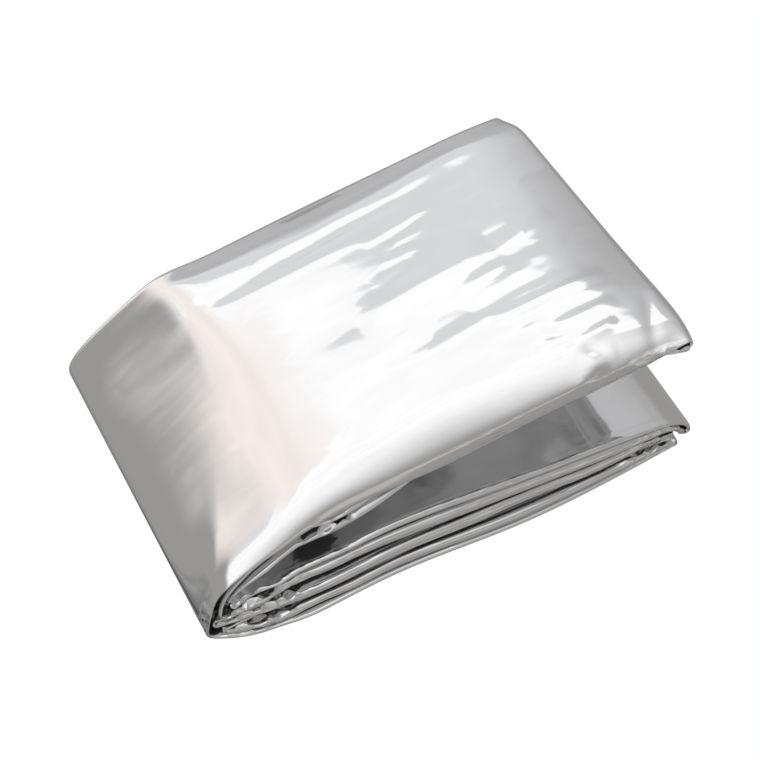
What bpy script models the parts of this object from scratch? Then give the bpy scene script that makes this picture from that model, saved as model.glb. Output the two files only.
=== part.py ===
"""Emergency foil blanket, folded for storage and half sprung open.

The film is first pleated across its width into one long flat strip of many plies. That strip is folded
back and forth into a flat stack, and the stack is folded in half over its left end, the spine. The upper
leaf has sprung up again, so the two leaves stand apart like the covers of an open book.

The blanket is one sheet, so it is one solid: the strip's back-and-forth section, carried across the width.
Axes: +X from the spine to the open end, +Y from the front side to the back, +Z up. Metres.
The solid stands on z = 0 with its box centred over the origin.
"""

import math

import bmesh
import bpy

MM = 0.001

# The strip
STRIP_WIDTH = 87.0 * MM
STRIP_THICKNESS = 1.1 * MM          # a pleat of about 24 plies of film, pressed flat
LOWER_PASSES = 7                    # passes of the strip in the lower leaf

# Places along X, measured from the spine
SPINE_SIDE = 34.0 * MM              # left of this the passes bend round the spine
LOWER_END = 127.0 * MM              # where the lower leaf's passes turn back
UPPER_END_FRONT = 124.4 * MM        # where the upper leaf's passes turn back, at its front and back sides
UPPER_END_BACK = 122.6 * MM

# The upper leaf's cover
EDGE_ROLL = 7.0 * MM                # width of the soft roll along its two long edges
EDGE_DROP = 1.3 * MM                # how far the roll comes down
TIP_ROLL = 9.0 * MM                 # length over which its open end curls down
TIP_DROP = 1.0 * MM
CORNER_CUT = 2.5 * MM               # how far its back corner is drawn in
CORNER_WIDTH = 8.0 * MM

# The lower leaf's top pair hooks down over the ends of the other passes
HOOK_START = 120.0 * MM
HOOK_OUT = 9.8 * MM
HOOK_DOWN = 6.0 * MM

SIDE_TURN_GAP = 3.1 * MM            # from the cover's middle to a turn beside the spine
SIDE_TURN_PLACES = (26.0 * MM, 17.0 * MM)
TURN_SPAN = 3.0 * MM                # height of the stretch of cover that such a turn keeps clear of
TURN_BULGE = 0.57                   # how far a turn bulges, as a share of the distance it spans
NOSE_HEIGHT = 2.7 * MM              # height of the blunt nose of an inner bend round the spine
NOSE_ROUND = 0.9 * MM
BEND_SPACING = 4.5 * MM             # between the points that shape an inner bend
INNER_PLACES = (34.0 * MM, 29.0 * MM, 24.0 * MM, 19.0 * MM, 14.0 * MM, 9.0 * MM)

# The cover's way round the spine
BOTTOM_PLACES = (34.0 * MM, 18.0 * MM, 8.0 * MM, 3.0 * MM)
FOOT_X = 0.2 * MM                   # the corner between the bottom and the spine face
FOOT_RISE = 0.6 * MM
FACE_PARTS = (0.3, 0.6, 0.85)       # shares of the spine face's height
FACE_CURVE = 1.2                    # over 1, the face leaves the bulge more upright than it meets the ridge
TOP_PARTS = (0.15, 0.4, 0.7, 1.0)   # shares of the way from the ridge to the end of the bend

# Places along X, in mm, that the tables' columns are named after
COVER_PLACES = (35.0, 60.0, 90.0)
SLIP_PLACES = (15.0, 50.0, 85.0, 110.0)
SLIP_END = 126.0
LEAD = 20.0                         # how far the top's slope is carried on beyond the ridge

# The cover's section, one row for each place across the width. Heights are of the film's middle, in mm.
# share: place across the width, 0 at the front and 1 at the back
# bulge_z: height of the spine's outermost line
# ridge_x, ridge_z: the line where the sloping spine face meets the top
# arch: extra height of the top half way from the ridge to x = 35
# z_35, z_60, z_90, tip_z: height of the top at x = 35, 60 and 90, and at the open end
COVER_SECTIONS = (
    {"share": 0.00, "bulge_z": 4.5, "ridge_x": 3.2, "ridge_z": 17.4, "arch": 2.6,
     "z_35": 33.0, "z_60": 37.6, "z_90": 40.7, "tip_z": 44.4},
    {"share": 0.10, "bulge_z": 4.6, "ridge_x": 6.8, "ridge_z": 19.0, "arch": 2.1,
     "z_35": 32.6, "z_60": 37.3, "z_90": 40.5, "tip_z": 44.2},
    {"share": 0.21, "bulge_z": 4.7, "ridge_x": 11.5, "ridge_z": 20.8, "arch": 1.4,
     "z_35": 31.9, "z_60": 36.9, "z_90": 40.2, "tip_z": 44.0},
    {"share": 0.34, "bulge_z": 4.8, "ridge_x": 17.5, "ridge_z": 22.6, "arch": 0.8,
     "z_35": 30.8, "z_60": 36.2, "z_90": 39.7, "tip_z": 43.7},
    {"share": 0.48, "bulge_z": 5.0, "ridge_x": 23.5, "ridge_z": 24.0, "arch": 0.3,
     "z_35": 29.6, "z_60": 35.2, "z_90": 39.0, "tip_z": 43.3},
    {"share": 0.63, "bulge_z": 5.2, "ridge_x": 27.5, "ridge_z": 24.8, "arch": 0.1,
     "z_35": 28.5, "z_60": 33.9, "z_90": 38.1, "tip_z": 42.8},
    {"share": 0.80, "bulge_z": 5.4, "ridge_x": 28.5, "ridge_z": 25.2, "arch": 0.0,
     "z_35": 27.5, "z_60": 32.3, "z_90": 36.8, "tip_z": 42.1},
    {"share": 1.00, "bulge_z": 5.6, "ridge_x": 25.5, "ridge_z": 24.6, "arch": 0.0,
     "z_35": 26.4, "z_60": 30.3, "z_90": 35.3, "tip_z": 41.4},
)

# The lower leaf's height from spine to open end, at its front and back sides, in mm.
LOWER_HEIGHTS = (
    {"x": 0.0, "front": 10.4, "back": 10.3},
    {"x": 14.0, "front": 11.8, "back": 11.0},
    {"x": 30.0, "front": 14.0, "back": 12.0},
    {"x": 48.0, "front": 15.6, "back": 12.8},
    {"x": 75.0, "front": 14.0, "back": 12.6},
    {"x": 105.0, "front": 11.8, "back": 11.6},
    {"x": 130.0, "front": 10.5, "back": 10.5},
)

# The distance from one pass to the next in the upper leaf, in mm.
UPPER_PITCHES = (
    {"x": 0.0, "pitch": 1.7},
    {"x": 20.0, "pitch": 2.4},
    {"x": 36.0, "pitch": 2.7},
    {"x": 50.0, "pitch": 2.3},
    {"x": 75.0, "pitch": 1.8},
    {"x": 105.0, "pitch": 1.8},
    {"x": 124.0, "pitch": 2.5},
)

# Each pass in the order in which the strip runs, from one of its free ends to the other.
# leaf, level: its leaf, and its place there counted from the outside
# slip_15, slip_50, slip_85, slip_110: how far it has slipped sideways at those x, in mm
#     minus is to the front
# short: how far short of the leaf's end it turns back, in mm
# hook: true for the pair that hooks down at the open end
PASSES = (
    {"leaf": "upper", "level": 3, "slip_15": 0.6, "slip_50": 0.3, "slip_85": 0.8, "slip_110": 0.4,
     "short": 3.0, "hook": False},
    {"leaf": "lower", "level": 7, "slip_15": 0.4, "slip_50": 0.5, "slip_85": 0.4, "slip_110": 0.5,
     "short": 0.0, "hook": True},
    {"leaf": "lower", "level": 6, "slip_15": -0.5, "slip_50": -0.4, "slip_85": -0.2, "slip_110": 0.2,
     "short": 0.0, "hook": True},
    {"leaf": "upper", "level": 2, "slip_15": 1.3, "slip_50": 1.8, "slip_85": 1.5, "slip_110": 0.8,
     "short": 0.0, "hook": False},
    {"leaf": "upper", "level": 1, "slip_15": 0.5, "slip_50": 0.9, "slip_85": 0.8, "slip_110": 0.3,
     "short": 0.0, "hook": False},
    {"leaf": "lower", "level": 1, "slip_15": -4.2, "slip_50": -3.1, "slip_85": -3.6, "slip_110": -2.2,
     "short": 1.6, "hook": False},
    {"leaf": "lower", "level": 2, "slip_15": -3.5, "slip_50": -2.6, "slip_85": -2.9, "slip_110": -1.7,
     "short": 1.6, "hook": False},
    {"leaf": "lower", "level": 3, "slip_15": -2.2, "slip_50": -1.1, "slip_85": -1.7, "slip_110": -0.7,
     "short": 2.8, "hook": False},
    {"leaf": "lower", "level": 4, "slip_15": -2.5, "slip_50": -1.9, "slip_85": -1.2, "slip_110": -1.1,
     "short": 2.8, "hook": False},
    {"leaf": "lower", "level": 5, "slip_15": -1.3, "slip_50": -0.9, "slip_85": -0.8, "slip_110": -0.2,
     "short": 6.5, "hook": False},
)

# How finely the solid is cut
ACROSS = (0.0, 0.03, 0.09, 0.20, 0.34, 0.48, 0.62, 0.76, 0.91, 0.97, 1.0)
RUN_STEPS = 8                       # steps along a pass, beside its bends
SPINE_STEPS = 18                    # steps where the strip turns round the spine
TURN_STEPS = 6                      # steps round a turn inside a leaf
HOOK_STEPS = 5
FINE_STEPS = 160                    # steps of the smooth curve that a bend is read from
BEND_WEIGHT = 8.0 * MM              # a bend of one radian gets the steps of this length of straight line

LEFT, RIGHT = 1, -1


def ease(share):
    """0 to 1 with a level start and end."""
    share = min(1.0, max(0.0, share))
    return share * share * (3.0 - 2.0 * share)


def smooth_between(points, at):
    """The height of a smooth curve through (place, height) points, in the order of their places."""
    if at <= points[0][0]:
        return points[0][1]
    for i in range(len(points) - 1):
        (a, low), (b, high) = points[i], points[i + 1]
        if at <= b:
            before = points[max(i - 1, 0)]
            after = points[min(i + 2, len(points) - 1)]
            slope_a = (high - before[1]) / (b - before[0]) * (b - a)
            slope_b = (after[1] - low) / (after[0] - a) * (b - a)
            p = (at - a) / (b - a)
            return (low * (1 + 2 * p) * (1 - p) ** 2 + slope_a * p * (1 - p) ** 2
                    + high * p * p * (3 - 2 * p) + slope_b * p * p * (p - 1))
    return points[-1][1]


def from_table(rows, key, at, column):
    """A column of a table at any place between its rows."""
    return smooth_between([(row[key], row[column]) for row in rows], at)


def cover_section(share):
    """The cover's row for any place across the width."""
    return {name: from_table(COVER_SECTIONS, "share", share, name) for name in COVER_SECTIONS[0]}


def lower_z(level, x, share):
    """Height of the middle of a lower pass; level 1 lies flat on the surface."""
    front = from_table(LOWER_HEIGHTS, "x", x / MM, "front")
    back = from_table(LOWER_HEIGHTS, "x", x / MM, "back")
    height = (front + (back - front) * ease(share)) * MM
    pitch = (height - STRIP_THICKNESS) / (LOWER_PASSES - 1)
    return STRIP_THICKNESS / 2 + (level - 1) * pitch


def upper_end(share):
    """Where the upper leaf's passes turn back; the back corner is drawn in."""
    end = UPPER_END_FRONT + (UPPER_END_BACK - UPPER_END_FRONT) * share
    return end - CORNER_CUT * (1.0 - ease((1.0 - share) * STRIP_WIDTH / CORNER_WIDTH))


def edge_drop(share):
    """How far the upper leaf's long edges roll down."""
    inside = min(share, 1.0 - share) * STRIP_WIDTH
    return EDGE_DROP * (1.0 - ease(inside / EDGE_ROLL))


def cover_z(x, share):
    """Height of the middle of the cover, right of its ridge."""
    row = cover_section(share)
    arch_end = COVER_PLACES[0]
    lead = LEAD * (row["z_35"] - row["ridge_z"]) / arch_end
    heights = [(row["ridge_x"] - LEAD, row["ridge_z"] - lead), (row["ridge_x"], row["ridge_z"])]
    heights += [(place, row[f"z_{place:.0f}"]) for place in COVER_PLACES]
    heights.append((upper_end(share) / MM, row["tip_z"]))
    height = smooth_between(heights, x / MM)
    part = min(1.0, max(0.0, (x / MM - row["ridge_x"]) / (arch_end - row["ridge_x"])))
    height += row["arch"] * 4.0 * part * (1.0 - part)
    curl = TIP_DROP * ease((x - upper_end(share) + TIP_ROLL) / TIP_ROLL)
    return height * MM - edge_drop(share) - curl


def upper_z(level, x, share):
    """Height of the middle of an upper pass; level 1 is the cover."""
    slope = (cover_z(x + MM, share) - cover_z(x - MM, share)) / (2 * MM)
    pitch = from_table(UPPER_PITCHES, "x", x / MM, "pitch") * MM
    return cover_z(x, share) - (level - 1) * pitch * math.hypot(1.0, slope)


def pass_z(row, x, share):
    """Height of the middle of any pass."""
    height = lower_z if row["leaf"] == "lower" else upper_z
    return height(row["level"], x, share)


def rounded(points, rounds=3):
    """The line with its corners cut again and again, with both ends kept."""
    for _ in range(rounds):
        cut = [points[0]]
        for (ax, az), (bx, bz) in zip(points, points[1:]):
            cut.append((ax * 0.75 + bx * 0.25, az * 0.75 + bz * 0.25))
            cut.append((ax * 0.25 + bx * 0.75, az * 0.25 + bz * 0.75))
        points = cut + [points[-1]]
    return points


def spaced(points, steps, bend_weight=0.0):
    """The line again as steps + 1 points, evenly spaced along it but closer where it bends."""
    along = [0.0]
    heading = math.atan2(points[1][1] - points[0][1], points[1][0] - points[0][0])
    for (ax, az), (bx, bz) in zip(points, points[1:]):
        turned = math.remainder(math.atan2(bz - az, bx - ax) - heading, math.tau)
        heading += turned
        along.append(along[-1] + math.hypot(bx - ax, bz - az) + abs(turned) * bend_weight)
    made = []
    place = 0
    for step in range(steps + 1):
        at = along[-1] * step / steps
        while place < len(points) - 2 and along[place + 1] < at:
            place += 1
        share = (at - along[place]) / (along[place + 1] - along[place])
        (ax, az), (bx, bz) = points[place], points[place + 1]
        made.append((ax + (bx - ax) * share, az + (bz - az) * share))
    return made


def cover_bend(share):
    """The cover from the bottom, round the spine, to the top: a fine line of (x, z)."""
    row = cover_section(share)
    bottom = STRIP_THICKNESS / 2
    bulge_z = row["bulge_z"] * MM
    ridge_x = row["ridge_x"] * MM
    ridge_z = cover_z(ridge_x, share)
    points = [(x, bottom) for x in BOTTOM_PLACES]
    points += [(FOOT_X, bottom + FOOT_RISE), (0.0, bulge_z)]
    for part in FACE_PARTS:
        points.append((ridge_x * part ** FACE_CURVE, bulge_z + (ridge_z - bulge_z) * part))
    points.append((ridge_x, ridge_z))
    for part in TOP_PARTS:
        x = ridge_x + (SPINE_SIDE - ridge_x) * part
        points.append((x, cover_z(x, share)))
    return spaced(rounded(points), FINE_STEPS)


def inner_line(cover, level):
    """The cover's line moved inwards, as (x, z), for a deeper pass of the upper leaf."""
    moved = []
    for i, (x, z) in enumerate(cover):
        (ax, az), (bx, bz) = cover[max(i - 1, 0)], cover[min(i + 1, len(cover) - 1)]
        length = math.hypot(bx - ax, bz - az)
        depth = (level - 1) * from_table(UPPER_PITCHES, "x", x / MM, "pitch") * MM
        moved.append((x + (bz - az) / length * depth, z - (bx - ax) / length * depth))
    return moved


def spine_bend(lower_level, upper_level, share):
    """The strip's way round the spine from a lower pass to an upper one, as (x, z) from low to high."""
    cover = cover_bend(share)
    if upper_level == 1:
        return spaced(cover, SPINE_STEPS, BEND_WEIGHT)
    inner = inner_line(cover, upper_level)
    rise = [(x, z) for x, z in inner if x < SPINE_SIDE and z - lower_z(lower_level, x, share) > NOSE_HEIGHT]
    nose_x = rise[0][0]
    bend = [(x, lower_z(lower_level, x, share)) for x in INNER_PLACES if x > nose_x + BEND_SPACING]
    bend.append((nose_x + NOSE_ROUND, lower_z(lower_level, nose_x, share)))
    bend.append((nose_x - NOSE_ROUND / 2, lower_z(lower_level, nose_x, share) + NOSE_HEIGHT / 2))
    bend.append(rise[0])
    for x, z in rise:
        if math.hypot(x - bend[-1][0], z - bend[-1][1]) > BEND_SPACING:
            bend.append((x, z))
    bend.append((SPINE_SIDE, upper_z(upper_level, SPINE_SIDE, share)))
    return spaced(rounded(bend), SPINE_STEPS, BEND_WEIGHT)


def run(row, share):
    """A pass from the spine's bends to where it turns back."""
    if row["hook"]:
        end = HOOK_START
    elif row["leaf"] == "lower":
        end = LOWER_END - row["short"] * MM
    else:
        end = upper_end(share) - row["short"] * MM
    places = [SPINE_SIDE + (end - SPINE_SIDE) * step / RUN_STEPS for step in range(RUN_STEPS + 1)]
    points = [(x, pass_z(row, x, share)) for x in places]
    if row["hook"]:
        points += hook(row["level"], share)
    return points


def hook(level, share):
    """A quarter of an ellipse, down over the ends of the lower passes."""
    top = lower_z(level, HOOK_START, share)
    inwards = lower_z(LOWER_PASSES, HOOK_START, share) - top
    made = []
    for step in range(1, HOOK_STEPS + 1):
        angle = math.pi / 2 * step / HOOK_STEPS
        out = (HOOK_OUT - inwards) * math.sin(angle)
        made.append((HOOK_START + out, top - (HOOK_DOWN - inwards) * (1.0 - math.cos(angle))))
    return made


def half_turn(start, end, side):
    """Points of a round turn between two passes' ends, bulging to the LEFT or the RIGHT of its way."""
    (ax, az), (bx, bz) = start, end
    made = []
    for step in range(1, TURN_STEPS):
        angle = math.pi * step / TURN_STEPS
        part = (1.0 - math.cos(angle)) / 2
        bulge = math.sin(angle) * TURN_BULGE * side
        made.append((ax + (bx - ax) * part - (bz - az) * bulge, az + (bz - az) * part + (bx - ax) * bulge))
    return made


def side_turn(low, high, share):
    """A turn beside the spine, inside the lower leaf, as (x, z) from the lower pass to the higher."""
    top = lower_z(high["level"], 0.0, share)
    face = [x for x, z in cover_bend(share) if top - TURN_SPAN < z < top]
    side = max(face) + SIDE_TURN_GAP
    places = (*SIDE_TURN_PLACES, side)
    below = [(x, pass_z(low, x, share)) for x in places]
    above = [(x, pass_z(high, x, share)) for x in reversed(places)]
    return below + half_turn(below[-1], above[0], LEFT) + above


def section(share):
    """The strip's middle line at one place across the width: (x, z, pass), as many points everywhere."""
    line = []
    before = None
    for number, row in enumerate(PASSES):
        points = run(row, share)
        if number % 2 == 0:
            points.reverse()
            if before:
                turn = half_turn(line[-1][:2], points[0], LEFT if row["hook"] else RIGHT)
                line += [(x, z, row) for x, z in turn]
        elif before["leaf"] != row["leaf"]:
            upper, lower = (before, row) if before["leaf"] == "upper" else (row, before)
            bend = spine_bend(lower["level"], upper["level"], share)[1:-1]
            if row is lower:
                bend.reverse()
            line += [(x, z, before if i < len(bend) / 2 else row) for i, (x, z) in enumerate(bend)]
        else:
            turn = side_turn(before, row, share)
            line += [(x, z, before if i < len(turn) / 2 else row) for i, (x, z) in enumerate(turn)]
        line += [(x, z, row) for x, z in points]
        before = row
    return line


def slip(row, x):
    """How far a pass has slipped sideways; nothing at the spine or at its end."""
    places = [(0.0, 0.0)] + [(at, row[f"slip_{at:.0f}"]) for at in SLIP_PLACES]
    places.append((SLIP_END, 0.0))
    return smooth_between(places, x / MM) * MM


def sheet_grid():
    """The sheet's middle as lines of points across the width, one for each step along the strip."""
    sections = [section(share) for share in ACROSS]
    grid = []
    for step in range(len(sections[0])):
        line = []
        for share, made in zip(ACROSS, sections):
            x, z, row = made[step]
            line.append((x, share * STRIP_WIDTH + slip(row, x), z))
        grid.append(line)
    return grid


def centred(grid):
    """The grid moved so that the solid's box is centred over the origin."""
    xs = [point[0] for line in grid for point in line]
    ys = [point[1] for line in grid for point in line]
    middle_x = (min(xs) + max(xs)) / 2
    middle_y = (min(ys) + max(ys)) / 2
    return [[(x - middle_x, y - middle_y, z) for x, y, z in line] for line in grid]


def foil_material():
    """Aluminium vapour on clear film: a bright mirror, a little soft."""
    material = bpy.data.materials.new("foil")
    material.use_nodes = True
    shader = material.node_tree.nodes["Principled BSDF"]
    shader.inputs["Base Color"].default_value = (0.82, 0.82, 0.83, 1.0)
    shader.inputs["Metallic"].default_value = 1.0
    shader.inputs["Roughness"].default_value = 0.16
    return material


def foil_blanket():
    """The folded sheet as one thin solid."""
    shape = bmesh.new()
    grid = [[shape.verts.new(point) for point in line] for line in centred(sheet_grid())]
    for near, far in zip(grid, grid[1:]):
        for i in range(len(near) - 1):
            shape.faces.new((near[i], near[i + 1], far[i + 1], far[i]))
    mesh = bpy.data.meshes.new("foil_blanket")
    shape.to_mesh(mesh)
    shape.free()
    mesh.shade_smooth()
    mesh.materials.append(foil_material())
    blanket = bpy.data.objects.new("foil_blanket", mesh)
    bpy.context.scene.collection.objects.link(blanket)
    thickness = blanket.modifiers.new("thickness", "SOLIDIFY")
    thickness.thickness = STRIP_THICKNESS
    thickness.offset = 0.0
    return blanket


def main():
    for old in list(bpy.data.objects):
        bpy.data.objects.remove(old, do_unlink=True)
    foil_blanket()


main()
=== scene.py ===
"""Looks of a folded emergency foil blanket: one pleated strip of metallised film, folded back and forth.

The strip is a grid whose points are moved onto the fold, so that it stays one sheet from end to end.
Lengths in the tables are in millimetres, measured as the packet lies: X from the spine to the open end,
Y from the front side to the back, Z up from the surface. The frame's own metres come in at the end.
"""

import math
from functools import lru_cache

import bmesh
import bpy
import numpy as np
from mathutils import Matrix, Vector


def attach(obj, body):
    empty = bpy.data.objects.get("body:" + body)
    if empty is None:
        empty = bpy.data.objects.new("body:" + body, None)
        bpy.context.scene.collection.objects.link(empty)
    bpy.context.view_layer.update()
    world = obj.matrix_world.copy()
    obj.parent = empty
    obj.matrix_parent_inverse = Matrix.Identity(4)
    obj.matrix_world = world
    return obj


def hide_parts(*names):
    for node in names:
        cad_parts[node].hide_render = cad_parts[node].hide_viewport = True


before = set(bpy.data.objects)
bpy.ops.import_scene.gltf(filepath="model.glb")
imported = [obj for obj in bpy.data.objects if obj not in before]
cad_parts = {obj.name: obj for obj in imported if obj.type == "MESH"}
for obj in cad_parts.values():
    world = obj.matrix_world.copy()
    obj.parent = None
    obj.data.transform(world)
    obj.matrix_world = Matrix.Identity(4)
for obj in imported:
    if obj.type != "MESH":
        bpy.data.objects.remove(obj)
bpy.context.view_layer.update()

bl_info = {
    "name": "Folded foil blanket",
    "version": (1, 0, 0),
    "blender": (4, 5, 0),
    "location": "View3D > Sidebar > Foil blanket",
    "description": "Folds a strip of metallised film back and forth into a packet, and lights it",
    "category": "Add Mesh",
}

NODE = "foil_blanket"
BODY = "root"
MM = 0.001
CENTRE_X = 64.943  # the packet's middle, which the frame puts over the origin
CENTRE_Y = 42.216
LOOK_AT = (0.001457, 0.001984, 0.010)  # the point that the camera is aimed at, in metres

# ---- The fold --------------------------------------------------

STRIP_WIDTH = 87.0
PRESSED = 1.1  # thickness of the strip where it is pressed flat
LOWER_PASSES = 7
SPINE_SIDE = 34.0  # left of this the passes bend round the spine
LOWER_END = 127.0  # where the lower passes turn back
UPPER_END_FRONT = 124.4  # where the cover turns back, at its front and its back side
UPPER_END_BACK = 122.6
CORNER_CUT = 2.5  # how far the back corner there is drawn in, and over what width
CORNER_WIDTH = 8.0
EDGE_ROLL = 7.0  # width over which the upper leaf's long edges roll down by the drop
EDGE_DROP = 1.3
TIP_ROLL = 9.5  # the same for its open end
TIP_DROP = 1.7
TIP_ROLL_FRONT = 4.5  # and at the open end's front corner
TIP_DROP_FRONT = 0.8
TIP_FRONT_SHARE = 0.35  # share of the width over which the corner's values give way
HOOK_START = 120.0  # from here the hook reaches out and down
HOOK_OUT = 9.8
HOOK_DOWN = 6.0
SIDE_TURN_PLACES = (26.0, 17.0)  # on the way to a turn beside the spine
SIDE_TURN_GAP = 2.2  # from the spine's face to such a turn
TURN_SPAN = 3.0  # below a turn's top, the height over which the face is looked at
TURN_BULGE = 0.57  # how far a turn bulges, as a share of its height
NOSE_PLACES = (34.0, 29.0, 24.0, 19.0, 14.0, 9.0)  # on the way to the foot of an inner pass's rise
NOSE_HEIGHT = 2.7  # the narrow turn at that foot
NOSE_ROUND = 0.9
BEND_SPACING = 4.5  # least distance between the points that make a bend
BEND_WEIGHT = 8.0  # millimetres that a bend of one radian counts for when points are spaced

# The cover from the bottom up to its top, as cover_bend goes along it.
FOOT_PLACES = (SPINE_SIDE, 18.0, 8.0, 3.0)
FOOT_CORNER = (0.2, 0.6)  # a point of the turn into the spine's face: x, and height over the bottom
FACE_PARTS = (0.3, 0.6, 0.85)  # parts of the face's height
FACE_HOLLOW = 1.2  # above 1 the face is hollow
RIDGE_PARTS = (0.15, 0.4, 0.7, 1.0)  # parts of the way from the ridge to SPINE_SIDE
COVER_PLACES = (35.0, 60.0, 90.0)  # where the cover's height is given, besides its ridge and its end
RIDGE_LEAD = 20.0  # the cover's curve starts this far left of its ridge

# The cover's section for each place across the width, as in the solid.
COVER_COLUMNS = ("share", "bulge_z", "ridge_x", "ridge_z", "arch", "z_35", "z_60", "z_90", "tip_z")
COVER_SECTIONS = (
    (0.00, 4.5, 3.2, 17.4, 2.6, 33.0, 37.6, 40.7, 44.4),
    (0.10, 4.6, 6.8, 19.0, 2.1, 32.6, 37.3, 40.5, 44.2),
    (0.21, 4.7, 11.5, 20.8, 1.4, 31.9, 36.9, 40.2, 44.0),
    (0.34, 4.8, 17.5, 22.6, 0.8, 30.8, 36.2, 39.7, 43.7),
    (0.48, 5.0, 23.5, 24.0, 0.3, 29.6, 35.2, 39.0, 43.3),
    (0.63, 5.2, 27.5, 24.8, 0.1, 28.5, 33.9, 38.1, 42.8),
    (0.80, 5.4, 28.5, 25.2, 0.0, 27.5, 32.3, 36.8, 42.1),
    (1.00, 5.6, 25.5, 24.6, 0.0, 26.4, 30.3, 35.3, 41.4),
)

# The lower leaf's height at its front and its back side.
LOWER_COLUMNS = ("x", "front", "back")
LOWER_HEIGHTS = (
    (0.0, 10.4, 10.3),
    (14.0, 11.8, 11.0),
    (30.0, 14.0, 12.0),
    (48.0, 15.6, 12.8),
    (75.0, 14.0, 12.6),
    (105.0, 11.8, 11.6),
    (130.0, 10.5, 10.5),
)

# The distance between the upper leaf's passes.
PITCH_COLUMNS = ("x", "pitch")
UPPER_PITCHES = ((0.0, 1.7), (20.0, 2.4), (36.0, 2.7), (50.0, 2.3), (75.0, 1.8), (105.0, 1.8),
                 (124.0, 2.5))

# Each pass in the order in which the strip runs. level: in the lower leaf from the bottom up, in the
# upper leaf from the cover down. slip: sideways at those x, minus to the front. short: how far short of
# the leaf's end it turns back. hook: whether it comes down over the other ends.
PASS_COLUMNS = ("leaf", "level", "slip_15", "slip_50", "slip_85", "slip_110", "short", "hook")
PASSES = (
    ("upper", 3, 0.6, 0.3, 0.8, 0.4, 3.0, False),
    ("lower", 7, 0.4, 0.5, 0.4, 0.5, 0.0, True),
    ("lower", 6, -0.5, -0.4, -0.2, 0.2, 0.0, True),
    ("upper", 2, 1.3, 1.8, 1.5, 0.8, 0.0, False),
    ("upper", 1, 0.5, 0.9, 0.8, 0.3, 0.0, False),
    ("lower", 1, -4.2, -3.1, -3.6, -2.2, 1.6, False),
    ("lower", 2, -3.5, -2.6, -2.9, -1.7, 1.6, False),
    ("lower", 3, -2.2, -1.1, -1.7, -0.7, 2.8, False),
    ("lower", 4, -2.5, -1.9, -1.2, -1.1, 2.8, False),
    ("lower", 5, -1.3, -0.9, -0.8, -0.2, 6.5, False),
)

# Places across the width where the section is worked out; a smooth surface is drawn through them.
SHARES = (0.0, 0.02, 0.05, 0.09, 0.14, 0.20, 0.27, 0.34, 0.41, 0.48, 0.55, 0.62, 0.69, 0.76, 0.83, 0.89,
          0.93, 0.96, 0.98, 1.0)
SLIP_PLACES = (0.0, 15.0, 50.0, 85.0, 110.0, 126.0)
RUN_STEPS = 8  # points along a pass, round a bend, a turn and the hook
SPINE_STEPS = 18
TURN_STEPS = 6
HOOK_STEPS = 5
FINE_STEPS = 160  # and along the cover's bend, from which the inner ones are made
LEFT, RIGHT = 1, -1


def named(columns, rows):
    """The rows of a table as dicts by the names of its columns."""
    return [dict(zip(columns, row)) for row in rows]


def ease(share):
    """0 to 1 with a level start and end."""
    share = np.clip(share, 0.0, 1.0)
    return share * share * (3.0 - 2.0 * share)


def smooth_between(places, heights, at):
    """The height at one place of a smooth curve through (place, height) points."""
    if at <= places[0]:
        return heights[0]
    if at >= places[-1]:
        return heights[-1]
    i = int(np.searchsorted(places, at, side="right")) - 1
    i = min(i, len(places) - 2)
    before, after = max(i - 1, 0), min(i + 2, len(places) - 1)
    width = places[i + 1] - places[i]
    slope_a = (heights[i + 1] - heights[before]) / (places[i + 1] - places[before]) * width
    slope_b = (heights[after] - heights[i]) / (places[after] - places[i]) * width
    p = (at - places[i]) / width
    return (heights[i] * (1 + 2 * p) * (1 - p) ** 2 + slope_a * p * (1 - p) ** 2
            + heights[i + 1] * p * p * (3 - 2 * p) + slope_b * p * p * (p - 1))


def from_table(names, rows, at, name):
    """A column's value at any place of the table's first column."""
    column = names.index(name)
    return smooth_between([row[0] for row in rows], [row[column] for row in rows], at)


@lru_cache(maxsize=None)
def cover_section(share):
    """The cover's row for any place across the width."""
    return {name: from_table(COVER_COLUMNS, COVER_SECTIONS, share, name) for name in COVER_COLUMNS}


def lower_pitch(x, share):
    """The distance between neighbouring passes of the lower leaf."""
    front = from_table(LOWER_COLUMNS, LOWER_HEIGHTS, x, "front")
    back = from_table(LOWER_COLUMNS, LOWER_HEIGHTS, x, "back")
    height = front + (back - front) * ease(share)
    return (height - PRESSED) / (LOWER_PASSES - 1)


def lower_z(level, x, share):
    """Height of the middle of a lower pass; level 1 lies flat on the surface."""
    return PRESSED / 2 + (level - 1) * lower_pitch(x, share)


def upper_end(share):
    """Where the upper leaf's passes turn back; the back corner is drawn in."""
    end = UPPER_END_FRONT + (UPPER_END_BACK - UPPER_END_FRONT) * share
    return end - CORNER_CUT * (1.0 - ease((1.0 - share) * STRIP_WIDTH / CORNER_WIDTH))


def edge_drop(share):
    """How far the upper leaf's long edges roll down."""
    inside = min(share, 1.0 - share) * STRIP_WIDTH
    return EDGE_DROP * (1.0 - ease(inside / EDGE_ROLL))


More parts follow.
